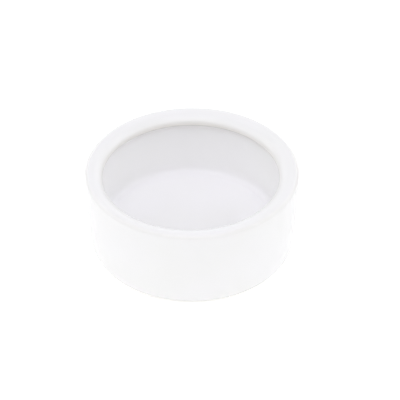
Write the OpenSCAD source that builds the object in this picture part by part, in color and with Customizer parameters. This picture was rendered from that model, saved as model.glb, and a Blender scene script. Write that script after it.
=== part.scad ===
// Flat-bottomed evaporating dish of glazed laboratory porcelain: thick upright wall, wide rounded rim
// with its inner lip turned over the wall, coved floor, and an unglazed foot ring under the base.
// Millimetres, +Z up. The origin is on the axis of the outer wall, in the plane the foot stands on.

/* [Outside] */
// Diameter of the dish at its widest
dish_d = 80; // [76:0.5:100]
// Height from the foot to the top of the rim
dish_h = 32.7; // [30:0.1:45]
// Radius of the gentle outward bow of the wall
bow_r = 246.5; // [200:0.5:400]
// Depth of the widest level below the rim
bow_drop = 6; // [4:0.5:10]
// Rounding of the rim's outer edge
rim_edge_r = 1.7; // [1:0.1:2]
// Rounding between the wall and the base
base_edge_r = 2.4; // [1.5:0.1:3]

/* [Rim and lip] */
// Radius at which the top of the rim begins to fall inwards
crest_r = 37.6; // [36.5:0.1:37.7]
// Diameter of the mouth between the lips
mouth_d = 66; // [64:0.1:67]
// Depth of the innermost point of the lip below the rim
lip_drop = 3; // [2.8:0.1:3.6]
// Rounding of the lip
lip_r = 1.8; // [1.6:0.1:2.2]
// How far the lip turns under, in degrees below level
lip_turn = 55; // [40:1:60]
// Radius of the hollow tucked under the lip
tuck_r = 2.2; // [1.5:0.1:3]

/* [Hollow] */
// Draft of the inner wall, which narrows downwards, in degrees
wall_draft = 1; // [0:0.1:3]
// Radius of the cove between the inner wall and the floor
cove_r = 3; // [2:0.1:6]
// Thickness of the base up to the floor of the hollow
floor_t = 5.4; // [3.5:0.1:6]
// How far the hollow sits off centre towards -X, left from the throwing
hollow_shift_x = 0.5; // [0:0.1:0.5]
// How far the hollow sits off centre towards -Y, left from the throwing
hollow_shift_y = 0.3; // [0:0.1:0.3]

/* [Foot] */
// Outer radius of the recess inside the foot ring
recess_r = 33.2; // [30:0.1:34]
// Depth of the recess up to its glazed ceiling
recess_h = 0.7; // [0.4:0.1:1]
// Height at which the glaze stops above the foot
glaze_line_h = 0.5; // [0.4:0.05:0.8]

/* [Glaze] */
// Thickness of the fired glaze
glaze_t = 0.3; // [0.2:0.05:0.35]

/* [Hidden] */
$fn = 144;
// Segments of the large circle that bows the wall
bow_segments = 1440;
// Reach of the cutting shapes beyond the solids they cut
over = 1;
// Height of the crest circle above the rim's plane, which makes the two cross instead of touching
crest_cross = 0.02;

bow_c = [dish_d / 2 - bow_r, dish_h - bow_drop];
rim_edge_c = bow_inner_point(rim_edge_r, dish_h - rim_edge_r);

// The crest arc and the lip arc touch at one point, which fixes the crest arc's radius
crest_run = crest_r - mouth_d / 2;
crest_arc_r = (pow(crest_run, 2) + pow(lip_drop, 2) - 2 * crest_run * lip_r) / (2 * (lip_drop - lip_r));
crest_c = [crest_r, dish_h + crest_cross - crest_arc_r];
lip_c = [mouth_d / 2 + lip_r, dish_h + crest_cross - lip_drop];
join_angle = atan2(lip_c.y - crest_c.y, lip_c.x - crest_c.x);

tuck_c = lip_c - (lip_r + tuck_r) * heading(lip_turn);
cove_c_y = floor_t + cove_r;
cove_c_x = tuck_c.x + (tuck_r - cove_r + (cove_c_y - tuck_c.y) * sin(wall_draft)) / cos(wall_draft);
cove_c = [cove_c_x, cove_c_y];

// Unit vector at an angle above +X
function heading(angle) = [cos(angle), sin(angle)];

// Centre, at height y, of an edge rounding of radius r that touches the bowed wall from inside
function bow_inner_point(r, y) = [bow_c.x + sqrt(pow(bow_r - r, 2) - pow(y - bow_c.y, 2)), y];

// Centre of the base rounding at a depth below the glazed surface: it drops by that depth, so that the
// glaze thins to nothing on its way down to the foot
function base_edge_c(depth) = bow_inner_point(base_edge_r, base_edge_r - depth);

// A point moved away from the bow's centre, past the wall
function beyond_wall(p) = p + 2 * base_edge_r * (p - bow_c) / norm(p - bow_c);

// Half section of the solid outer form, taken at a depth below the glazed surface
module outer_half(depth) {
    base_c = base_edge_c(depth);
    polygon([
        [0, 0], [base_c.x, 0], base_c,
        rim_edge_c, [rim_edge_c.x, dish_h - depth], [0, dish_h - depth]
    ]);
    translate(base_c) circle(base_edge_r - depth);
    translate(rim_edge_c) circle(rim_edge_r - depth);
    intersection() {
        translate(bow_c) circle(bow_r - depth, $fn = bow_segments);
        polygon([base_c, beyond_wall(base_c), beyond_wall(rim_edge_c), rim_edge_c]);
    }
}

// Half section of the hollow, taken at a depth below the glazed surface
module hollow_half(depth) {
    down_wall = heading(-wall_draft);
    difference() {
        union() {
            polygon([
                [0, floor_t - depth],
                [cove_c.x, floor_t - depth],
                cove_c + (cove_r + depth) * down_wall,
                tuck_c + (tuck_r + depth) * down_wall,
                lip_c - (lip_r - depth) * heading(lip_turn),
                lip_c,
                [crest_r, dish_h + crest_cross - depth],
                [crest_r, dish_h + over],
                [0, dish_h + over]
            ]);
            translate(tuck_c) circle(tuck_r + depth);
            translate(cove_c) circle(cove_r + depth);
        }
        translate(lip_c) circle(lip_r - depth);
        intersection() {
            translate(crest_c) circle(crest_arc_r - depth);
            polygon([
                crest_c,
                crest_c + 2 * crest_arc_r * heading(join_angle),
                crest_c + 2 * crest_arc_r * heading((join_angle + 90) / 2),
                crest_c + 2 * crest_arc_r * heading(90)
            ]);
        }
    }
}

// Half section of the recess inside the foot ring, up to a height, with a side at 45 degrees
module recess_half(low, high) {
    polygon([[0, low], [recess_r - low, low], [recess_r - high, high], [0, high]]);
}

// The hollow as a solid, in its place off the outer axis
module hollow(depth) {
    translate([-hollow_shift_x, -hollow_shift_y, 0]) rotate_extrude() hollow_half(depth);
}

// The fired clay itself: wall, rim, base and the bare foot ring that the dish stands on
module porcelain_body() {
    color("ivory") difference() {
        rotate_extrude() difference() {
            outer_half(glaze_t);
            recess_half(-over, recess_h + glaze_t);
        }
        hollow(glaze_t);
    }
}

// The clear white glaze over the outside, the rim and the hollow, down to the glaze line
module glaze_coat() {
    color("white") difference() {
        rotate_extrude() difference() {
            outer_half(0);
            square([dish_d, glaze_line_h]);
        }
        difference() {
            rotate_extrude() outer_half(glaze_t);
            hollow(glaze_t);
        }
        hollow(0);
    }
}

// The patch of glaze on the recessed underside, inside the foot ring
module underside_glaze() {
    color("whitesmoke") rotate_extrude() recess_half(recess_h, recess_h + glaze_t);
}

porcelain_body();
glaze_coat();
underside_glaze();
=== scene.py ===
import math

import bpy
from bpy.props import FloatProperty, FloatVectorProperty, IntProperty, PointerProperty
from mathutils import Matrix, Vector


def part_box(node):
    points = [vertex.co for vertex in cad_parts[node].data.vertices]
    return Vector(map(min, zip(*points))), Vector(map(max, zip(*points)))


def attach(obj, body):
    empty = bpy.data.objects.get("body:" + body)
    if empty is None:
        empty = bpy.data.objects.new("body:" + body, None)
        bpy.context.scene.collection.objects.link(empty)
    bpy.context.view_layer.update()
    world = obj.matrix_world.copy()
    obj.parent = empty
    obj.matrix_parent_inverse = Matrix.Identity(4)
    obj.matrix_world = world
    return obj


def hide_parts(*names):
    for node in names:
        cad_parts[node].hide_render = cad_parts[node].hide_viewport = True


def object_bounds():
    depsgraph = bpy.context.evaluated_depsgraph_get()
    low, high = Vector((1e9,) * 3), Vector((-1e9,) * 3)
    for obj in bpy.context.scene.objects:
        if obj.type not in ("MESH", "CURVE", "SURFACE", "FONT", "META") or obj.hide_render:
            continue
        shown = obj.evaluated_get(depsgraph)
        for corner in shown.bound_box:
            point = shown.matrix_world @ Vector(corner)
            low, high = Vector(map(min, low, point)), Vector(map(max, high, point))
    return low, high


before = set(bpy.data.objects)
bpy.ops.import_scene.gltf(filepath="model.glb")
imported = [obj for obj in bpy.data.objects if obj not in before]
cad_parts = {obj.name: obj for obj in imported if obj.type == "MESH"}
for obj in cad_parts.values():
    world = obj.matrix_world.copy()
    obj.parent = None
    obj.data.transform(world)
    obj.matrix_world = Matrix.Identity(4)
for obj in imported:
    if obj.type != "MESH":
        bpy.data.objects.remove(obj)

bl_info = {
    "name": "Porcelain Evaporating Dish",
    "version": (1, 0, 0),
    "blender": (4, 5, 0),
    "location": "3D View > Sidebar > Dish",
    "description": "Turns a glazed, flat-bottomed evaporating dish and sets it on a pale stage",
    "category": "Add Mesh",
}

# The dish is one rigid body, in metres, standing on the plane Z = 0 with its axis on Z
BODY = "root"
CAD_LOW, CAD_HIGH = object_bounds()
COAT_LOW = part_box("glaze_coat")[0]
PATCH_LOW, PATCH_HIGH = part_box("underside_glaze")
MM = 0.001
MICRON = 0.000001

# Directions in the half section, in degrees above level, seen with the axis on the left
UP = 90.0
DOWN = -90.0
INWARD = 180.0

# What the turned surfaces carry for their materials
OFF_CENTRE = "off_centre"
# The first mark is partly thick glaze and partly painted light: painted top light on level surfaces and a
# painted highlight along the cove
POOLED_AND_LIT = "glaze_pooled_and_lit"
# The second mark is partly glaze running thinner and partly painted shade: a darker, warmer band under the
# overhanging lip
THINNED_AND_SHADED = "glaze_thinned_and_shaded"
ALONG = "along_section"

WHITE = (1.0, 1.0, 1.0)

# Spacing of nodes in their editor
COLUMN = 190
ROW = -170


# ------------------------------------------------------------------ settings


def length(name, description, default, low, high):
    """A size in metres"""
    return FloatProperty(name=name, description=description, default=default, min=low, max=high,
                         precision=6, subtype="DISTANCE", unit="LENGTH")


def angle(name, description, default, low, high):
    """An angle, given here in degrees"""
    return FloatProperty(name=name, description=description, default=math.radians(default),
                         min=math.radians(low), max=math.radians(high), subtype="ANGLE", unit="ROTATION")


def amount(name, description, default, high=1.0):
    """A plain amount from nought upwards"""
    return FloatProperty(name=name, description=description, default=default,
                         min=0.0, max=high, precision=3)


def tint(name, description, default):
    """A colour"""
    return FloatVectorProperty(name=name, description=description, default=default, size=3,
                               min=0.0, max=1.0, subtype="COLOR")


class DishSizes(bpy.types.PropertyGroup):
    """Sizes of the dish, as the potter's drawing gives them"""

    width: length("Width", "Diameter at the widest level", CAD_HIGH.x - CAD_LOW.x, 60 * MM, 120 * MM)
    height: length("Height", "From the foot to the top of the rim",
                   CAD_HIGH.z - CAD_LOW.z, 20 * MM, 60 * MM)
    bow_radius: length("Bow", "Radius of the wall's gentle outward bow", 246.5 * MM, 100 * MM, 500 * MM)
    bow_drop: length("Bow drop", "Depth of the widest level below the rim", 6 * MM, 2 * MM, 15 * MM)
    rim_edge: length("Rim edge", "Rounding of the rim's outer edge", 1.7 * MM, 0.5 * MM, 3 * MM)
    base_edge: length("Base edge", "Rounding between the wall and the base", 2.4 * MM, 1 * MM, 4 * MM)
    crest_at: length("Crest", "Radius where the rim begins to fall inwards", 37.6 * MM, 30 * MM, 50 * MM)
    mouth: length("Mouth", "Diameter of the mouth between the lips", 66 * MM, 40 * MM, 100 * MM)
    lip_drop: length("Lip drop", "Depth of the lip's innermost point below the rim",
                     3 * MM, 1.5 * MM, 6 * MM)
    lip: length("Lip", "Rounding of the lip", 1.8 * MM, 0.8 * MM, 3 * MM)
    lip_turn: angle("Lip turn", "How far the lip turns under, below level", 55, 20, 70)
    tuck: length("Tuck", "Radius of the hollow tucked under the lip", 2.2 * MM, 1 * MM, 4 * MM)
    draft: angle("Wall draft", "Draft of the inner wall, which narrows downwards", 1, 0, 5)
    cove: length("Cove", "Radius of the cove round the floor", 3 * MM, 1 * MM, 8 * MM)
    floor: length("Floor", "Thickness of the base up to the floor", 5.4 * MM, 3 * MM, 8 * MM)
    shift_x: length("Hollow leftwards", "How far the hollow sits off centre, towards -X",
                    0.5 * MM, 0, 1 * MM)
    shift_y: length("Hollow forwards", "How far the hollow sits off centre, towards -Y",
                    0.3 * MM, 0, 1 * MM)
    glaze: length("Glaze", "Thickness of the fired glaze",
                  PATCH_HIGH.z - PATCH_LOW.z, 0.1 * MM, 0.5 * MM)
    glaze_line: length("Glaze line", "Height at which the glaze stops", COAT_LOW.z, 0.2 * MM, 1 * MM)
    recess: length("Recess", "Depth of the recess inside the foot ring", PATCH_LOW.z, 0.3 * MM, 2 * MM)
    recess_at: length("Recess radius", "Radius of the recess at the foot",
                      PATCH_HIGH.x + PATCH_LOW.z, 20 * MM, 40 * MM)
    foot_edge: length("Foot edge", "Rounding of the foot ring's inner edge", 0.25 * MM, 0.1 * MM, 0.5 * MM)
    waver: length("Waver", "How far the turned surface wavers from true", 0.02 * MM, 0, 0.5 * MM)
    waver_seed: IntProperty(name="Waver seed", description="Picks one waver out of many", default=7, min=0)
    steps_round: IntProperty(name="Steps round", description="Steps of the wheel in one turn",
                             default=256, min=32, max=320)


class DishFinishes(bpy.types.PropertyGroup):
    """Colours and surface of the glaze and of the bare clay"""

    glaze_white: tint("Glaze", "White of the glaze where it lies evenly", (0.952, 0.951, 0.95))
    # The cooler white is partly thick glaze and partly painted light: painted top light on level surfaces
    # and a painted highlight along the cove
    pooled_lit_white: tint("Pooled glaze", "Cooler white where the glaze lies thick", (0.976, 0.968, 1.0))
    # The warmer white is partly clay showing through thinner glaze and partly painted shade, darkened to
    # stand in for the shade under the lip
    thin_shaded_white: tint("Thin glaze", "Warmer white where the clay shows through", (0.9, 0.875, 0.835))
    glaze_blur: amount("Glaze blur", "Roughness of the glaze, which blurs its reflections", 0.12)
    glaze_bend: FloatProperty(name="Glaze index", description="Refractive index of the glaze",
                              default=1.5, min=1.3, max=1.8)
    ripple: length("Ripple", "Height of the slow ripple left as the glaze ran",
                   4 * MICRON, 0, 50 * MICRON)
    rings: length("Turning rings", "Height of the rings that the glaze half fills",
                  1 * MICRON, 0, 50 * MICRON)
    pinholes: length("Pinholes", "Depth of the rare pinholes in the glaze",
                     6 * MICRON, 0, 50 * MICRON)
    speck: tint("Speck", "Colour of the few specks of iron under the glaze", (0.62, 0.57, 0.5))
    dry_blur: amount("Underside blur", "Roughness of the drier glaze on the underside", 0.3)
    clay_pale: tint("Clay", "Colour of the bare fired clay", (0.88, 0.86, 0.82))
    clay_rubbed: tint("Rubbed clay", "Colour of the foot where it has rubbed on benches",
                      (0.66, 0.62, 0.57))
    clay_blur: amount("Clay blur", "Roughness of the bare clay", 0.75)
    grain: length("Grain", "Height of the bare clay's grain", 14 * MICRON, 0, 100 * MICRON)


class StageSettings(bpy.types.PropertyGroup):
    """Floor, lamps and camera"""

    floor_white: tint("Floor", "Colour of the pale floor", (0.9, 0.9, 0.9))
    floor_gap: length("Floor gap", "Hair's breadth between the foot and the floor", 0.02 * MM, 0, 1 * MM)
    floor_reach: length("Floor reach", "From the middle of the floor to its edge", 3.0, 0.5, 10.0)
    floor_glow: amount("Floor glow", "Light that the floor gives off, so that it stays white", 0.28, 2.0)
    room_glow: amount("Room glow", "Even light that reaches the dish from all round", 0.33, 2.0)
    room_seen: amount("Room seen", "Brightness of the room behind the dish", 1.0, 2.0)
    lamp_glow: amount("Lamp glow", "Scales all the lamps together", 1.0, 5.0)
    lamp_away: length("Lamp distance", "From the dish to each lamp", 1.0, 0.3, 5.0)
    camera_away: length("Camera distance", "From the dish to the camera", 0.5687, 0.2, 3.0)
    camera_rise: angle("Camera rise", "Angle of the camera above level", 38.71, -10, 90)
    camera_lens: FloatProperty(name="Lens", description="Focal length in millimetres",
                               default=135.0, min=20.0, max=300.0)
    aim_right: length("Aim right", "How far right of the dish's middle the camera aims", 2.95 * MM, -1, 1)
    aim_up: length("Aim up", "How far above the dish's middle the camera aims", 0.97 * MM, -1, 1)


# Softboxes round the dish: how far round from the front towards +X and how far up, in degrees; how
# brightly the cloth glows; the cloth's width and height in metres; and its tint
SOFTBOXES = {
    "Front softbox": (0, 54, 0.84, 0.80, 0.90, (1.01, 1.0, 0.98)),
    "Front left softbox": (-50, 52, 0.70, 0.80, 0.90, WHITE),
    "Front right softbox": (50, 52, 0.52, 0.80, 0.90, WHITE),
    "Left softbox": (-95, 36, 1.02, 0.75, 0.70, WHITE),
    "Right softbox": (95, 36, 1.08, 0.75, 0.70, WHITE),
    "Back left card": (-135, 30, 0.58, 0.80, 0.60, WHITE),
    "Back right card": (135, 30, 0.68, 0.80, 0.60, WHITE),
    "Back card": (180, 18, 0.50, 1.60, 0.50, WHITE),
    "Overhead softbox": (0, 85, 0.58, 0.60, 0.50, (0.93, 0.96, 1.12)),
}

# Distances from the floor's middle between which it fades to plain white for the camera, in metres
LIT_FLOOR = 0.3
UNLIT_FLOOR = 1.2

# Width of the camera's sensor in millimetres, and the farthest thing that it shows, in metres
FULL_FRAME = 36.0
FARTHEST_SEEN = 20.0


def settings():
    """The three groups of settings"""
    scene = bpy.context.scene
    return scene.dish_sizes, scene.dish_finishes, scene.dish_stage


# ------------------------------------------------------------------ half sections


def heading(degrees):
    """Unit vector in the half section"""
    return Vector((math.cos(math.radians(degrees)), math.sin(math.radians(degrees))))


def heading_of(vector):
    """Direction of a vector in the half section, in degrees"""
    return math.degrees(math.atan2(vector.y, vector.x))


def arc(centre, radius, start, end, step):
    """Points along an arc from one direction to another"""
    count = max(2, math.ceil(abs(end - start) / step))
    return [centre + radius * heading(start + (end - start) * i / count) for i in range(count + 1)]


def straight(start, end, count):
    """Points along a straight, crowded towards both ends so that the roundings beside it shade cleanly"""
    return [start.lerp(end, 0.5 - 0.5 * math.cos(math.pi * i / count)) for i in range(count + 1)]


def bend(start, corner, end, count):
    """Points of the smooth bend that leaves one side of a corner and joins the other"""
    spots = [i / count for i in range(count + 1)]
    return [start.lerp(corner, s).lerp(corner.lerp(end, s), s) for s in spots]


# Steps that the straights and the soft edges of the half sections are cut into
WALL_STEPS = 10
FLOOR_STEPS = 12
ROOF_STEPS = 8
SIDE_STEPS = 3
RING_STEPS = 6
EDGE_STEPS = 6
PATCH_STEPS = 12
PATCH_ROOF_STEPS = 6
PATCH_EDGE_STEPS = 8

# How far the patch's edge thins out, in thicknesses of glaze, and how far up the recess's side it ends
PATCH_TAPER = 2.5
PATCH_CLIMB = 0.7


class Section:
    """The arcs of the dish's half section; every centre is (distance from the axis, height)"""

    # Steps of the arcs, in degrees: where they show, where glaze covers them, and on the great bow
    VISIBLE_STEP = 5.0
    BURIED_STEP = 9.0
    BOW_STEP = 0.4

    # How thick the glaze lies on the level parts of the floor and the rim, where its cooler white is also
    # painted top light, and in a band along the cove, which is also a painted highlight
    ON_FLOOR = 0.6
    ON_RIM = 0.4
    COVE_POOL_AND_HIGHLIGHT = 0.4
    COVE_POOL_AND_HIGHLIGHT_BAND = 2.5 * MM
    MIDDLE_OF_COVE = -45.0

    # Where the glaze runs thinner, and under the lip also painted shade: a share of the lip's turn, and
    # two directions in degrees;
    # then how strong and how wide each band is
    UNDER_LIP = 0.7
    RIM_CORNER = 45.0
    ABOVE_FOOT = -50.0
    LIP_SHADE_BAND = 1.9 * MM
    RIM_THINNING = 0.25
    RIM_BAND = 0.8 * MM
    LINE_THINNING = 0.8
    LINE_BAND = 0.5 * MM

    def __init__(self, sizes):
        self.sizes = sizes
        self.bow_centre = Vector((sizes.width / 2 - sizes.bow_radius, sizes.height - sizes.bow_drop))
        self.rim_centre = self.inside_bow(sizes.rim_edge, sizes.height - sizes.rim_edge)
        # The crest arc and the lip arc touch at one point, which fixes the crest arc's radius
        run = sizes.crest_at - sizes.mouth / 2
        spare = sizes.lip_drop - sizes.lip
        self.crest_radius = (run ** 2 + sizes.lip_drop ** 2 - 2 * run * sizes.lip) / (2 * spare)
        self.crest_centre = Vector((sizes.crest_at, sizes.height - self.crest_radius))
        self.lip_centre = Vector((sizes.mouth / 2 + sizes.lip, sizes.height - sizes.lip_drop))
        self.join = heading_of(self.lip_centre - self.crest_centre)
        self.under = math.degrees(sizes.lip_turn)
        self.tuck_centre = self.lip_centre - (sizes.lip + sizes.tuck) * heading(self.under)
        self.draft = math.degrees(sizes.draft)
        cove_height = sizes.floor + sizes.cove
        lean = (cove_height - self.tuck_centre.y) * math.sin(sizes.draft)
        cove_out = (sizes.tuck - sizes.cove + lean) / math.cos(sizes.draft)
        self.cove_centre = Vector((self.tuck_centre.x + cove_out, cove_height))

    def inside_bow(self, radius, height):
        """Centre, at a height, of a rounding that touches the bowed wall from inside"""
        reach = math.sqrt((self.sizes.bow_radius - radius) ** 2 - (height - self.bow_centre.y) ** 2)
        return Vector((self.bow_centre.x + reach, height))

    def base_centre(self, depth):
        """Centre of the base rounding, at a depth below the glazed surface"""
        return self.inside_bow(self.sizes.base_edge, self.sizes.base_edge - depth)

    def on_base_edge(self, depth, height):
        """Direction, from the base rounding's centre, of the point on it at a height"""
        radius = self.sizes.base_edge - depth
        return math.degrees(math.asin(height / radius - 1))

    def outside(self, depth, start, step):
        """From the base rounding up over the bow and the rim's outer edge"""
        base = self.base_centre(depth)
        low = heading_of(base - self.bow_centre)
        high = heading_of(self.rim_centre - self.bow_centre)
        points = arc(base, self.sizes.base_edge - depth, start, low, step)
        points += arc(self.bow_centre, self.sizes.bow_radius - depth, low, high, self.BOW_STEP)[1:]
        points += arc(self.rim_centre, self.sizes.rim_edge - depth, high, UP, step)[1:]
        return points

    def inside(self, depth, step):
        """From the crest of the rim over the lip, down the wall and the cove, to the floor's middle"""
        sizes = self.sizes
        crest = arc(self.crest_centre, self.crest_radius - depth, UP, self.join, step)
        lip = arc(self.lip_centre, sizes.lip - depth, self.join, INWARD + self.under, step)
        tuck = arc(self.tuck_centre, sizes.tuck + depth, self.under, -self.draft, step)
        cove = arc(self.cove_centre, sizes.cove + depth, -self.draft, DOWN, step)
        wall = straight(tuck[-1], cove[0], WALL_STEPS)
        floor = straight(cove[-1], Vector((0.0, cove[-1].y)), FLOOR_STEPS)
        return crest + lip[1:] + tuck[1:] + wall[1:-1] + cove + floor[1:]

    def pooled_and_lit(self, point, before, after):
        """How thick the glaze lies here: it runs off the walls, settles on the floor and fills the cove;
        its cooler white is also painted top light on the level parts and a painted highlight along the
        cove
        """
        run = after - before
        level = max(0.0, -run.x / run.length) ** 2
        settled_and_lit = self.ON_FLOOR if point.y < self.cove_centre.y else self.ON_RIM
        cove = self.cove_centre + self.sizes.cove * heading(self.MIDDLE_OF_COVE)
        return level * settled_and_lit + self.COVE_POOL_AND_HIGHLIGHT * near(point, cove, self.COVE_POOL_AND_HIGHLIGHT_BAND)

    def thinned_and_shaded(self, point):
        """How far the glaze runs thinner here: under the lip, on the rim's outer edge and at the glaze
        line; under the lip its warmer white is also painted shade
        """
        lip = self.lip_centre + self.sizes.lip * heading(INWARD + self.UNDER_LIP * self.under)
        rim = self.rim_centre + self.sizes.rim_edge * heading(self.RIM_CORNER)
        line = self.base_centre(0) + self.sizes.base_edge * heading(self.ABOVE_FOOT)
        thin_and_shade = near(point, lip, self.LIP_SHADE_BAND)
        thin_and_shade += self.RIM_THINNING * near(point, rim, self.RIM_BAND)
        thin_and_shade += self.LINE_THINNING * near(point, line, self.LINE_BAND)
        return thin_and_shade


def near(point, spot, reach):
    """One at a spot in the half section, falling smoothly away over a reach"""
    return math.exp(-((point - spot).length / reach) ** 2)


def centred(points):
    """Points that turn about the outside's own axis"""
    return [(point, 0) for point in points]


def shifted(points):
    """Points that turn about the hollow's axis, which is a little off the outside's"""
    return [(point, 1) for point in points]


def coat_section(sizes):
    """Half section of the main coat: a shell from its rolled edge at the glaze line, over the rim to the
    middle of the floor, and back behind itself along the clay"""
    form = Section(sizes)
    edge_height = sizes.glaze_line + sizes.glaze / 2
    outside = form.outside(0, form.on_base_edge(0, edge_height), form.VISIBLE_STEP)
    inside = form.inside(0, form.VISIBLE_STEP)
    clay_edge = form.on_base_edge(sizes.glaze, sizes.glaze_line)
    clay_outside = form.outside(sizes.glaze, clay_edge, form.BURIED_STEP)
    clay_inside = form.inside(sizes.glaze, form.BURIED_STEP)
    corner = form.base_centre(0) + sizes.base_edge * heading(form.on_base_edge(0, sizes.glaze_line))
    edge = bend(clay_outside[0], corner, outside[0], EDGE_STEPS)
    clay_outside.reverse()
    clay_inside.reverse()
    return centred(edge[:-1] + outside) + shifted(inside + clay_inside) + centred(clay_outside)


def clay_section(sizes):
    """Half section of the fired clay: the recess, the foot ring, and all that lies under the glaze"""
    form = Section(sizes)
    roof_height = sizes.recess + sizes.glaze
    side_top = Vector((sizes.recess_at - roof_height, roof_height))
    side_foot = Vector((sizes.recess_at, 0.0))
    roof = straight(Vector((0.0, roof_height)), side_top, ROOF_STEPS)
    downwards = (side_foot - side_top).normalized()
    edge = bend(side_foot - sizes.foot_edge * downwards, side_foot,
                side_foot + Vector((sizes.foot_edge, 0.0)), EDGE_STEPS)
    outside = form.outside(sizes.glaze, DOWN, form.BURIED_STEP)
    side = straight(side_top, edge[0], SIDE_STEPS)
    ring = straight(edge[-1], outside[0], RING_STEPS)
    inside = form.inside(sizes.glaze, form.BURIED_STEP)
    return centred(roof + side[1:-1] + edge + ring[1:-1] + outside) + shifted(inside)


def patch_section(sizes):
    """Half section of the underside's glaze, which draws back from the recess's side in a soft edge"""
    top = sizes.recess + sizes.glaze
    side_top = Vector((sizes.recess_at - top, top))
    corner = Vector((sizes.recess_at - sizes.recess, sizes.recess))
    soft = Vector((PATCH_TAPER * sizes.glaze, 0.0))
    edge = bend(corner - soft, corner, corner.lerp(side_top, PATCH_CLIMB), PATCH_EDGE_STEPS)
    face = straight(Vector((0.0, sizes.recess)), edge[0], PATCH_STEPS)
    roof = straight(side_top, Vector((0.0, top)), PATCH_ROOF_STEPS)
    return centred(face[:-1] + edge + roof)


# ------------------------------------------------------------------ node trees


def feed(tree, socket, value):
    """Gives a socket its value, or links it to the output that feeds it"""
    if isinstance(value, bpy.types.NodeSocket):
        tree.links.new(value, socket)
    else:
        socket.default_value = value


def wire(tree, kind, spot, sockets=None, **traits):
    """Adds a node at (column, row); each socket is given a value, or the output that feeds it"""
    node = tree.nodes.new(kind)
    node.location = (spot[0] * COLUMN, spot[1] * ROW)
    for name, value in traits.items():
        setattr(node, name, value)
    for key, value in (sockets or {}).items():
        feed(tree, node.inputs[key], value)
    return node


def math_step(tree, operation, spot, *values, clamp=False):
    """Output of one sum on a tree"""
    sockets = dict(enumerate(values))
    return wire(tree, "ShaderNodeMath", spot, sockets, operation=operation, use_clamp=clamp).outputs[0]


def new_group(name, kind, inputs, outputs):
    """An empty node group with named sockets, and its input and output nodes"""
    tree = bpy.data.node_groups.new(name, kind)
    for socket, socket_type, default in inputs:
        made = tree.interface.new_socket(socket, in_out="INPUT", socket_type=socket_type)
        if default is not None:
            made.default_value = default
    for socket, socket_type in outputs:
        tree.interface.new_socket(socket, in_out="OUTPUT", socket_type=socket_type)
    return tree, tree.nodes.new("NodeGroupInput"), tree.nodes.new("NodeGroupOutput")


def give_out(tree, result, column, output):
    """Ends a node group: its one output takes what a node puts out"""
    tree.links.new(output, result.inputs[0])
    result.location = (column * COLUMN, 0)
    return tree


def group_named(name):
    """A finished node group, if it has been built already"""
    return bpy.data.node_groups.get(name)


# The waver of turned clay: its swells round the wall, its change with height, and how quickly it grows
# away from the axis, the last two for each metre
SWELLS_ROUND = 1.3
SWELLS_UP = 60.0
SWELLS_OUT = 100.0


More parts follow.
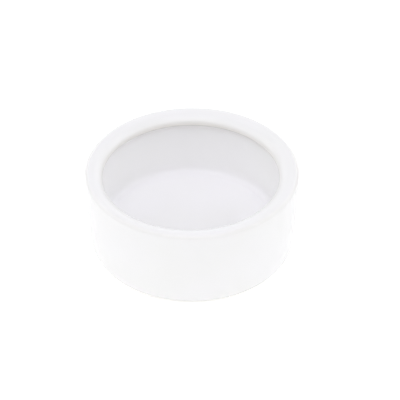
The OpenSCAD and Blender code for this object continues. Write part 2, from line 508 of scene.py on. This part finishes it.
def lathe_tree():
    """Geometry nodes that turn a half section about the upright axis, as a wheel and a rib would"""
    name = "Turned on the wheel"
    if group_named(name):
        return group_named(name)
    tree, given, result = new_group(
        name,
        "GeometryNodeTree",
        [
            ("Half Section", "NodeSocketGeometry", None),
            ("Steps Round", "NodeSocketInt", 256),
            ("Shift X", "NodeSocketFloat", 0.0),
            ("Shift Y", "NodeSocketFloat", 0.0),
            ("Waver", "NodeSocketFloat", 0.0),
            ("Waver Seed", "NodeSocketInt", 0),
            ("Finish", "NodeSocketMaterial", None),
        ],
        [("Turned Piece", "NodeSocketGeometry")],
    )
    given.location = (-600, 0)
    section = given.outputs["Half Section"]
    steps = given.outputs["Steps Round"]
    count = wire(tree, "GeometryNodeAttributeDomainSize", (0, 0), {0: section}).outputs["Point Count"]
    columns = math_step(tree, "ADD", (0, 2), steps, 1.0)
    grid = wire(tree, "GeometryNodeMeshGrid", (1, 0), {"Vertices X": columns, "Vertices Y": count})

    # Each column of the grid is the half section at one angle, and each row is one point of it
    index = wire(tree, "GeometryNodeInputIndex", (0, 4)).outputs[0]
    row = math_step(tree, "FLOORED_MODULO", (1, 4), index, count)
    column = math_step(tree, "FLOOR", (2, 5), math_step(tree, "DIVIDE", (1, 5), index, count))
    full_turn = math_step(tree, "MULTIPLY", (3, 5), column, math.tau)
    angle_round = math_step(tree, "DIVIDE", (4, 5), full_turn, steps)

    def carried(key, spot):
        """What a point of the half section carries, read for the point's row"""
        held = wire(tree, "GeometryNodeInputNamedAttribute", spot, {"Name": key}, data_type="FLOAT")
        return wire(tree, "GeometryNodeSampleIndex", (spot[0] + 1, spot[1]),
                    {0: section, 1: held.outputs[0], "Index": row}, data_type="FLOAT").outputs[0]

    position = wire(tree, "GeometryNodeInputPosition", (1, 7)).outputs[0]
    place = wire(tree, "GeometryNodeSampleIndex", (2, 7), {0: section, 1: position, "Index": row},
                 data_type="FLOAT_VECTOR").outputs[0]
    parts = wire(tree, "ShaderNodeSeparateXYZ", (3, 7), {0: place})
    radius = parts.outputs["X"]
    height = parts.outputs["Z"]
    across = math_step(tree, "COSINE", (5, 5), angle_round)
    along = math_step(tree, "SINE", (5, 6), angle_round)

    # The waver is the same at all depths of the wall, so the layers never cross, and it dies at the axis
    slow_height = math_step(tree, "MULTIPLY", (4, 8), height, SWELLS_UP)
    round_wall = wire(tree, "ShaderNodeCombineXYZ", (6, 6),
                      {"X": across, "Y": along, "Z": slow_height}).outputs[0]
    seed = given.outputs["Waver Seed"]
    noise = wire(tree, "ShaderNodeTexNoise", (7, 6),
                 {"Vector": round_wall, "W": seed, "Scale": SWELLS_ROUND, "Detail": 1.0},
                 noise_dimensions="4D").outputs[0]
    in_and_out = math_step(tree, "MULTIPLY_ADD", (8, 6), noise, 2.0, -1.0)
    off_axis = math_step(tree, "MULTIPLY", (8, 7), radius, SWELLS_OUT, clamp=True)
    share = math_step(tree, "MULTIPLY", (9, 6), in_and_out, off_axis)
    waver = math_step(tree, "MULTIPLY", (9, 7), share, given.outputs["Waver"])
    wavering = math_step(tree, "ADD", (10, 7), radius, waver)

    off_centre = carried(OFF_CENTRE, (6, 9))
    shift_x = math_step(tree, "MULTIPLY", (8, 9), off_centre, given.outputs["Shift X"])
    shift_y = math_step(tree, "MULTIPLY", (8, 10), off_centre, given.outputs["Shift Y"])
    out_x = math_step(tree, "MULTIPLY", (11, 5), wavering, across)
    out_y = math_step(tree, "MULTIPLY", (11, 6), wavering, along)
    x = math_step(tree, "SUBTRACT", (12, 5), out_x, shift_x)
    y = math_step(tree, "SUBTRACT", (12, 6), out_y, shift_y)
    turned = wire(tree, "ShaderNodeCombineXYZ", (13, 6), {"X": x, "Y": y, "Z": height}).outputs[0]
    shape = wire(tree, "GeometryNodeSetPosition", (14, 0),
                 {"Geometry": grid.outputs["Mesh"], "Position": turned})
    for step, key in enumerate((POOLED_AND_LIT, THINNED_AND_SHADED, ALONG)):
        shape = wire(tree, "GeometryNodeStoreNamedAttribute", (15 + step, 0),
                     {"Geometry": shape.outputs[0], "Name": key, "Value": carried(key, (11, 9 + step))},
                     data_type="FLOAT", domain="POINT")

    # The seam and the poles are closed, and an edge that runs along the axis inside a shell goes
    closed = wire(tree, "GeometryNodeMergeByDistance", (18, 0),
                  {"Geometry": shape.outputs[0], "Distance": 1 * MICRON})
    faces_beside = wire(tree, "GeometryNodeInputMeshEdgeNeighbors", (18, 2)).outputs[0]
    bare_edge = wire(tree, "FunctionNodeCompare", (19, 2), {2: faces_beside, 3: 0},
                     data_type="INT", operation="EQUAL").outputs[0]
    clean = wire(tree, "GeometryNodeDeleteGeometry", (20, 0),
                 {"Geometry": closed.outputs[0], "Selection": bare_edge}, domain="EDGE", mode="EDGE_FACE")
    smooth = wire(tree, "GeometryNodeSetShadeSmooth", (21, 0), {"Geometry": clean.outputs[0]})
    real = wire(tree, "GeometryNodeRealizeInstances", (22, 0), {"Geometry": smooth.outputs[0]})
    finished = wire(tree, "GeometryNodeSetMaterial", (23, 0),
                    {"Geometry": real.outputs[0], "Material": given.outputs["Finish"]})
    return give_out(tree, result, 24, finished.outputs[0])


def turn_piece(name, section, finish, node):
    """Turns a half section into a closed mesh that stands for a CAD node"""
    sizes = settings()[0]
    form = Section(sizes)
    points = [point for point, _ in section]
    run = [0.0]
    for before, after in zip(points, points[1:]):
        run.append(run[-1] + (after - before).length)
    befores = [points[0]] + points
    afters = points[1:] + [points[-1]]
    carried = {
        OFF_CENTRE: [off_centre for _, off_centre in section],
        POOLED_AND_LIT: [form.pooled_and_lit(*spot) for spot in zip(points, befores, afters)],
        THINNED_AND_SHADED: [form.thinned_and_shaded(point) for point in points],
        ALONG: run,
    }
    outline = bpy.data.meshes.new(name)
    corners = [(point.x, 0.0, point.y) for point in points]
    outline.from_pydata(corners, [(i, i + 1) for i in range(len(points) - 1)], [])
    for key, values in carried.items():
        layer = outline.attributes.new(key, "FLOAT", "POINT")
        layer.data.foreach_set("value", [float(value) for value in values])
    piece = bpy.data.objects.new(name, outline)
    bpy.context.scene.collection.objects.link(piece)

    wheel = piece.modifiers.new("Wheel", "NODES")
    wheel.node_group = lathe_tree()
    sockets = {item.name: item.identifier for item in wheel.node_group.interface.items_tree}
    wheel[sockets["Steps Round"]] = sizes.steps_round
    wheel[sockets["Shift X"]] = sizes.shift_x
    wheel[sockets["Shift Y"]] = sizes.shift_y
    wheel[sockets["Waver"]] = sizes.waver
    wheel[sockets["Waver Seed"]] = sizes.waver_seed
    wheel[sockets["Finish"]] = finish
    evaluated = bpy.context.evaluated_depsgraph_get()
    turned = bpy.data.meshes.new_from_object(
        piece.evaluated_get(evaluated), preserve_all_data_layers=True, depsgraph=evaluated)
    if not turned.polygons:
        raise RuntimeError(f"{name} came out empty")
    piece.modifiers.remove(wheel)
    piece.data = turned
    bpy.data.meshes.remove(outline)
    turned.name = name
    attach(piece, BODY)
    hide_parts(node)
    return piece


# ------------------------------------------------------------------ finishes


def cloud_group():
    """Soft uneven patches, for thickness, smudges and rubbing"""
    name = "Soft patches"
    if group_named(name):
        return group_named(name)
    tree, given, result = new_group(
        name,
        "ShaderNodeTree",
        [
            ("Place", "NodeSocketVector", None),
            ("Per Metre", "NodeSocketFloat", 60.0),
            ("Detail", "NodeSocketFloat", 2.0),
            ("Low", "NodeSocketFloat", 0.4),
            ("High", "NodeSocketFloat", 0.6),
        ],
        [("Mask", "NodeSocketFloat")],
    )
    noise = wire(tree, "ShaderNodeTexNoise", (1, 0), {
        "Vector": given.outputs["Place"],
        "Scale": given.outputs["Per Metre"],
        "Detail": given.outputs["Detail"],
    })
    mask = wire(tree, "ShaderNodeMapRange", (2, 0), {
        "Value": noise.outputs[0],
        "From Min": given.outputs["Low"],
        "From Max": given.outputs["High"],
    }, interpolation_type="SMOOTHSTEP")
    return give_out(tree, result, 3, mask.outputs[0])


def speck_group():
    """Small round spots, a few in many cells, with soft edges"""
    name = "Rare specks"
    if group_named(name):
        return group_named(name)
    tree, given, result = new_group(
        name,
        "ShaderNodeTree",
        [
            ("Place", "NodeSocketVector", None),
            ("Cells Per Metre", "NodeSocketFloat", 300.0),
            ("Spot Size", "NodeSocketFloat", 0.06),
            ("Kept", "NodeSocketFloat", 0.1),
        ],
        [("Mask", "NodeSocketFloat")],
    )
    cells = wire(tree, "ShaderNodeTexVoronoi", (1, 0), {
        "Vector": given.outputs["Place"],
        "Scale": given.outputs["Cells Per Metre"],
    })
    spot = wire(tree, "ShaderNodeMapRange", (2, 0), {
        "Value": cells.outputs["Distance"],
        "From Min": 0.0,
        "From Max": given.outputs["Spot Size"],
        "To Min": 1.0,
        "To Max": 0.0,
    }, interpolation_type="SMOOTHSTEP")
    luck = wire(tree, "ShaderNodeSeparateColor", (2, 1), {0: cells.outputs["Color"]})
    chosen = math_step(tree, "LESS_THAN", (3, 1), luck.outputs[0], given.outputs["Kept"])
    mask = math_step(tree, "MULTIPLY", (4, 0), spot.outputs[0], chosen)
    return give_out(tree, result, 5, mask)


def ring_group():
    """Rings that a rib leaves on turned clay, uneven in spacing and in depth"""
    name = "Turning rings"
    if group_named(name):
        return group_named(name)
    tree, given, result = new_group(
        name,
        "ShaderNodeTree",
        [
            ("Place", "NodeSocketVector", None),
            ("Along", "NodeSocketFloat", 0.0),
            ("Per Metre", "NodeSocketFloat", 900.0),
        ],
        [("Height", "NodeSocketFloat")],
    )
    wander = wire(tree, "ShaderNodeTexNoise", (1, 1),
                  {"Vector": given.outputs["Place"], "Scale": 12.0, "Detail": 1.0}).outputs[0]
    turns = math_step(tree, "MULTIPLY", (1, 0), given.outputs["Along"], given.outputs["Per Metre"])
    strand = math_step(tree, "ADD", (2, 0), turns, wander)
    uneven = wire(tree, "ShaderNodeTexNoise", (3, 0), {"W": strand, "Scale": 1.0, "Detail": 3.0},
                  noise_dimensions="1D").outputs[0]
    return give_out(tree, result, 4, uneven)


def use_group(tree, group, spot, sockets):
    """Output of a node group placed in a material with its own values"""
    return wire(tree, "ShaderNodeGroup", spot, sockets, node_tree=group).outputs[0]


def opaque(colour):
    """A colour with its fourth number"""
    return (*colour, 1.0)


def mix_colour(tree, spot, share, first, second):
    """Output of two colours blended by a share"""
    node = wire(tree, "ShaderNodeMix", spot, {"Factor": share}, data_type="RGBA", clamp_factor=True)
    for key, colour in ((6, first), (7, second)):
        linked = isinstance(colour, bpy.types.NodeSocket)
        feed(tree, node.inputs[key], colour if linked else opaque(colour))
    return node.outputs[2]


def spread(tree, spot, value, low, high):
    """A mask from nought to one, spread between two values"""
    return wire(tree, "ShaderNodeMapRange", spot,
                {"Value": value, "To Min": low, "To Max": high}).outputs[0]


def carried_by(tree, spot, key):
    """What the surface carries from its half section"""
    return wire(tree, "ShaderNodeAttribute", spot, attribute_name=key).outputs["Fac"]


def bare_material(name):
    """A material with its Principled shader alone, and the place that its patterns read"""
    material = bpy.data.materials.new(name)
    material.use_nodes = True
    tree = material.node_tree
    shader = tree.nodes["Principled BSDF"]
    shader.location = (9 * COLUMN, 0)
    tree.nodes["Material Output"].location = (11 * COLUMN, 0)
    place = wire(tree, "ShaderNodeTexCoord", (-2, 0)).outputs["Object"]
    return material, tree, shader, place


def raise_surface(tree, spot, height, distance, below=None):
    """Normal of a surface raised by a height from nought to one over a distance in metres"""
    sockets = {"Height": height, "Distance": distance, "Strength": 1.0}
    if below is not None:
        sockets["Normal"] = below
    return wire(tree, "ShaderNodeBump", spot, sockets).outputs[0]


# How much duller smudged glaze and thin glaze are, and how much smoother rubbed clay is
SMUDGED = 1.35
DRY_WHERE_THIN = 0.5
SMOOTH_WHERE_RUBBED = 0.75

# How cloudy the two glazes are, and how much coarser the underside's ripple and rings are
COAT_CLOUDINESS = 0.35
UNDERSIDE_CLOUDINESS = 1.0
UNDERSIDE_RIPPLE = 2.0
UNDERSIDE_RINGS = 4.0


def glaze_material(name, blur, ripple, rings, cloudiness):
    """Clear glaze over white clay: cool where thick, with painted top light on the level parts and a
    painted highlight along the cove, and warm where thinner, with painted shade under the lip; rippled,
    with rings and a few specks
    """
    finishes = settings()[1]
    material, tree, shader, place = bare_material(name)
    pooled_and_lit = carried_by(tree, (0, 0), POOLED_AND_LIT)
    thinned_and_shaded = carried_by(tree, (0, 1), THINNED_AND_SHADED)
    along = carried_by(tree, (0, 5), ALONG)
    cloud = use_group(tree, cloud_group(), (0, 2), {
        "Place": place, "Per Metre": 45.0, "Detail": 2.0, "Low": 0.3, "High": 0.7})
    specks = use_group(tree, speck_group(), (0, 3), {
        "Place": place, "Cells Per Metre": 210.0, "Spot Size": 0.035, "Kept": 0.05})
    uneven = math_step(tree, "MULTIPLY", (1, 2), cloud, cloudiness)
    pooling_and_light = math_step(tree, "ADD", (2, 1), pooled_and_lit, uneven, clamp=True)
    # The cooler white is partly thick glaze and partly painted light: painted top light on the level parts
    # and a painted highlight along the cove
    white = mix_colour(tree, (3, 0), pooling_and_light, finishes.glaze_white, finishes.pooled_lit_white)
    # The warmer white is partly thinner glaze and partly painted shade under the lip
    white = mix_colour(tree, (4, 0), thinned_and_shaded, white, finishes.thin_shaded_white)
    white = mix_colour(tree, (5, 0), specks, white, finishes.speck)
    tree.links.new(white, shader.inputs["Base Color"])

    smudges = use_group(tree, cloud_group(), (2, 3), {
        "Place": place, "Per Metre": 140.0, "Detail": 4.0, "Low": 0.35, "High": 0.75})
    roughness = spread(tree, (4, 3), smudges, blur, blur * SMUDGED)
    drier = math_step(tree, "MULTIPLY_ADD", (5, 3), thinned_and_shaded, blur * DRY_WHERE_THIN, roughness)
    tree.links.new(drier, shader.inputs["Roughness"])

    slow = wire(tree, "ShaderNodeTexNoise", (2, 5),
                {"Vector": place, "Scale": 170.0, "Detail": 2.0, "Roughness": 0.45}).outputs[0]
    turned = use_group(tree, ring_group(), (2, 6), {
        "Place": place, "Along": along, "Per Metre": 700.0})
    pits = use_group(tree, speck_group(), (2, 7), {
        "Place": place, "Cells Per Metre": 480.0, "Spot Size": 0.05, "Kept": 0.02})
    normal = raise_surface(tree, (5, 5), slow, ripple)
    normal = raise_surface(tree, (6, 6), turned, rings, normal)
    pitted = math_step(tree, "SUBTRACT", (4, 7), 1.0, pits)
    normal = raise_surface(tree, (7, 7), pitted, finishes.pinholes, normal)
    tree.links.new(normal, shader.inputs["Normal"])
    shader.inputs["IOR"].default_value = finishes.glaze_bend
    return material


def clay_material(name):
    """Bare fired porcelain: warm matt grain, darker and smoother where the foot rubs on the bench"""
    sizes, finishes, _ = settings()
    material, tree, shader, place = bare_material(name)
    along = carried_by(tree, (0, 5), ALONG)
    patches = use_group(tree, cloud_group(), (0, 0), {
        "Place": place, "Per Metre": 160.0, "Detail": 5.0, "Low": 0.35, "High": 0.7})
    height = wire(tree, "ShaderNodeSeparateXYZ", (0, 2), {0: place}).outputs["Z"]
    on_bench = wire(tree, "ShaderNodeMapRange", (1, 2), {
        "Value": height,
        "From Min": 0.0,
        "From Max": sizes.glaze_line / 2,
        "To Min": 1.0,
        "To Max": 0.0,
    }).outputs[0]
    rubbed = math_step(tree, "MULTIPLY", (2, 1), patches, on_bench)
    specks = use_group(tree, speck_group(), (0, 3), {
        "Place": place, "Cells Per Metre": 900.0, "Spot Size": 0.16, "Kept": 0.12})
    clay = mix_colour(tree, (3, 0), rubbed, finishes.clay_pale, finishes.clay_rubbed)
    clay = mix_colour(tree, (4, 0), specks, clay, finishes.speck)
    tree.links.new(clay, shader.inputs["Base Color"])
    rubbed_blur = finishes.clay_blur * SMOOTH_WHERE_RUBBED
    polished = spread(tree, (4, 2), rubbed, finishes.clay_blur, rubbed_blur)
    tree.links.new(polished, shader.inputs["Roughness"])
    grain = wire(tree, "ShaderNodeTexNoise", (2, 4),
                 {"Vector": place, "Scale": 2600.0, "Detail": 3.0, "Roughness": 0.6}).outputs[0]
    turned = use_group(tree, ring_group(), (2, 6), {
        "Place": place, "Along": along, "Per Metre": 2200.0})
    normal = raise_surface(tree, (5, 4), grain, finishes.grain)
    normal = raise_surface(tree, (6, 5), turned, finishes.grain, normal)
    tree.links.new(normal, shader.inputs["Normal"])
    return material


# ------------------------------------------------------------------ stage


def lay_floor(stage):
    """A plain pale floor that stays white, also to the camera where the lamps no longer reach"""
    reach = stage.floor_reach
    square = ((-reach, -reach), (reach, -reach), (reach, reach), (-reach, reach))
    corners = [(x, y, -stage.floor_gap) for x, y in square]
    sheet = bpy.data.meshes.new("studio_floor")
    sheet.from_pydata(corners, [], [(0, 1, 2, 3)])
    floor = bpy.data.objects.new("studio_floor", sheet)
    bpy.context.scene.collection.objects.link(floor)
    material, tree, shader, place = bare_material("Pale floor")
    shader.inputs["Base Color"].default_value = opaque(stage.floor_white)
    shader.inputs["Roughness"].default_value = 0.9
    shader.inputs["Specular IOR Level"].default_value = 0.0
    shader.inputs["Emission Color"].default_value = opaque(WHITE)
    from_middle = wire(tree, "ShaderNodeVectorMath", (0, -1), {0: place}, operation="LENGTH")
    far = wire(tree, "ShaderNodeMapRange", (1, -1), {
        "Value": from_middle.outputs["Value"],
        "From Min": LIT_FLOOR,
        "From Max": UNLIT_FLOOR,
    }, interpolation_type="SMOOTHSTEP").outputs[0]
    seen = wire(tree, "ShaderNodeLightPath", (1, -2)).outputs["Is Camera Ray"]
    far_seen = math_step(tree, "MULTIPLY", (2, -1), far, seen)
    glow = spread(tree, (3, -1), far_seen, stage.floor_glow, 1.0)
    tree.links.new(glow, shader.inputs["Emission Strength"])
    sheet.materials.append(material)


def hang_softboxes(stage):
    """Softboxes in a ring round the dish, each turned towards it"""
    for name, (round_by, rise, glow, wide, high, colour) in SOFTBOXES.items():
        away = stage.lamp_away * sky(round_by, rise)
        lamp = bpy.data.lights.new(name, "AREA")
        lamp.shape = "RECTANGLE"
        lamp.size = wide
        lamp.size_y = high
        lamp.color = colour
        lamp.energy = math.pi * wide * high * glow * stage.lamp_glow
        hung = bpy.data.objects.new(name, lamp)
        hung.location = away
        hung.rotation_euler = (-away).to_track_quat("-Z", "Y").to_euler()
        hung.visible_camera = False
        bpy.context.scene.collection.objects.link(hung)


def sky(round_by, rise):
    """Unit vector towards a place round and above the dish, in degrees; nought round is the front"""
    around = math.radians(round_by)
    above = math.radians(rise)
    level = math.cos(above)
    return Vector((math.sin(around) * level, -math.cos(around) * level, math.sin(above)))


def fill_room(stage):
    """Even light from all round, which the camera alone sees brighter"""
    world = bpy.data.worlds.new("Pale room")
    world.use_nodes = True
    tree = world.node_tree
    seen = wire(tree, "ShaderNodeLightPath", (-3, 0)).outputs["Is Camera Ray"]
    glow = spread(tree, (-1, 0), seen, stage.room_glow, stage.room_seen)
    background = tree.nodes["Background"]
    background.inputs["Color"].default_value = opaque(WHITE)
    tree.links.new(glow, background.inputs["Strength"])
    bpy.context.scene.world = world


def stand_camera(stage):
    """A long lens that looks down into the dish"""
    rise = stage.camera_rise
    back = sky(0, math.degrees(rise))
    up = Vector((0.0, math.sin(rise), math.cos(rise)))
    middle = Vector((0.0, 0.0, CAD_HIGH.z / 2))
    lens = bpy.data.cameras.new("Studio camera")
    lens.lens = stage.camera_lens
    lens.sensor_width = FULL_FRAME
    lens.clip_end = FARTHEST_SEEN
    camera = bpy.data.objects.new("Studio camera", lens)
    aim = middle + Vector((stage.aim_right, 0.0, 0.0)) + stage.aim_up * up
    camera.location = aim + stage.camera_away * back
    camera.rotation_euler = (-back).to_track_quat("-Z", "Y").to_euler()
    bpy.context.scene.collection.objects.link(camera)
    bpy.context.scene.camera = camera


# ------------------------------------------------------------------ operators


class DISH_OT_turn_clay(bpy.types.Operator):
    """Turn the fired clay body with its foot ring and recess"""

    bl_idname = "dish.turn_clay"
    bl_label = "Turn Clay Body"

    def execute(self, context):
        sizes = settings()[0]
        turn_piece("fired_clay_body", clay_section(sizes), clay_material("Bare fired porcelain"),
                   "porcelain_body")
        return {"FINISHED"}


class DISH_OT_coat_glaze(bpy.types.Operator):
    """Coat the outside, the rim and the hollow with glaze, down to the glaze line"""

    bl_idname = "dish.coat_glaze"
    bl_label = "Coat With Glaze"

    def execute(self, context):
        sizes, finishes, _ = settings()
        finish = glaze_material("White glaze", finishes.glaze_blur, finishes.ripple, finishes.rings,
                                COAT_CLOUDINESS)
        turn_piece("white_glaze_coat", coat_section(sizes), finish, "glaze_coat")
        return {"FINISHED"}


class DISH_OT_glaze_underside(bpy.types.Operator):
    """Glaze the recess inside the foot ring"""

    bl_idname = "dish.glaze_underside"
    bl_label = "Glaze Underside"

    def execute(self, context):
        sizes, finishes, _ = settings()
        ripple = UNDERSIDE_RIPPLE * finishes.ripple
        rings = UNDERSIDE_RINGS * finishes.rings
        finish = glaze_material("Underside glaze", finishes.dry_blur, ripple, rings, UNDERSIDE_CLOUDINESS)
        turn_piece("underside_glaze_patch", patch_section(sizes), finish, "underside_glaze")
        return {"FINISHED"}


class DISH_OT_set_stage(bpy.types.Operator):
    """Lay the floor, hang the softboxes and stand the camera"""

    bl_idname = "dish.set_stage"
    bl_label = "Set Stage"

    def execute(self, context):
        stage = settings()[2]
        lay_floor(stage)
        hang_softboxes(stage)
        fill_room(stage)
        stand_camera(stage)
        bpy.context.scene.view_settings.view_transform = "Standard"
        return {"FINISHED"}


class DISH_PT_panel(bpy.types.Panel):
    """Sizes, finishes and stage of the dish"""

    bl_label = "Evaporating Dish"
    bl_idname = "DISH_PT_panel"
    bl_space_type = "VIEW_3D"
    bl_region_type = "UI"
    bl_category = "Dish"

    def draw(self, context):
        for operator in OPERATORS:
            self.layout.operator(operator.bl_idname)
        for title, group in zip(("Sizes", "Finishes", "Stage"), settings()):
            box = self.layout.box()
            box.label(text=title)
            for name in group.__annotations__:
                box.prop(group, name)


OPERATORS = (DISH_OT_turn_clay, DISH_OT_coat_glaze, DISH_OT_glaze_underside, DISH_OT_set_stage)
CLASSES = (DishSizes, DishFinishes, StageSettings, *OPERATORS, DISH_PT_panel)


def register():
    for cls in CLASSES:
        bpy.utils.register_class(cls)
    bpy.types.Scene.dish_sizes = PointerProperty(type=DishSizes)
    bpy.types.Scene.dish_finishes = PointerProperty(type=DishFinishes)
    bpy.types.Scene.dish_stage = PointerProperty(type=StageSettings)


def unregister():
    del bpy.types.Scene.dish_stage
    del bpy.types.Scene.dish_finishes
    del bpy.types.Scene.dish_sizes
    for cls in reversed(CLASSES):
        bpy.utils.unregister_class(cls)


def main():
    register()
    bpy.ops.dish.turn_clay()
    bpy.ops.dish.coat_glaze()
    bpy.ops.dish.glaze_underside()
    bpy.ops.dish.set_stage()


if __name__ == "__main__":
    main()
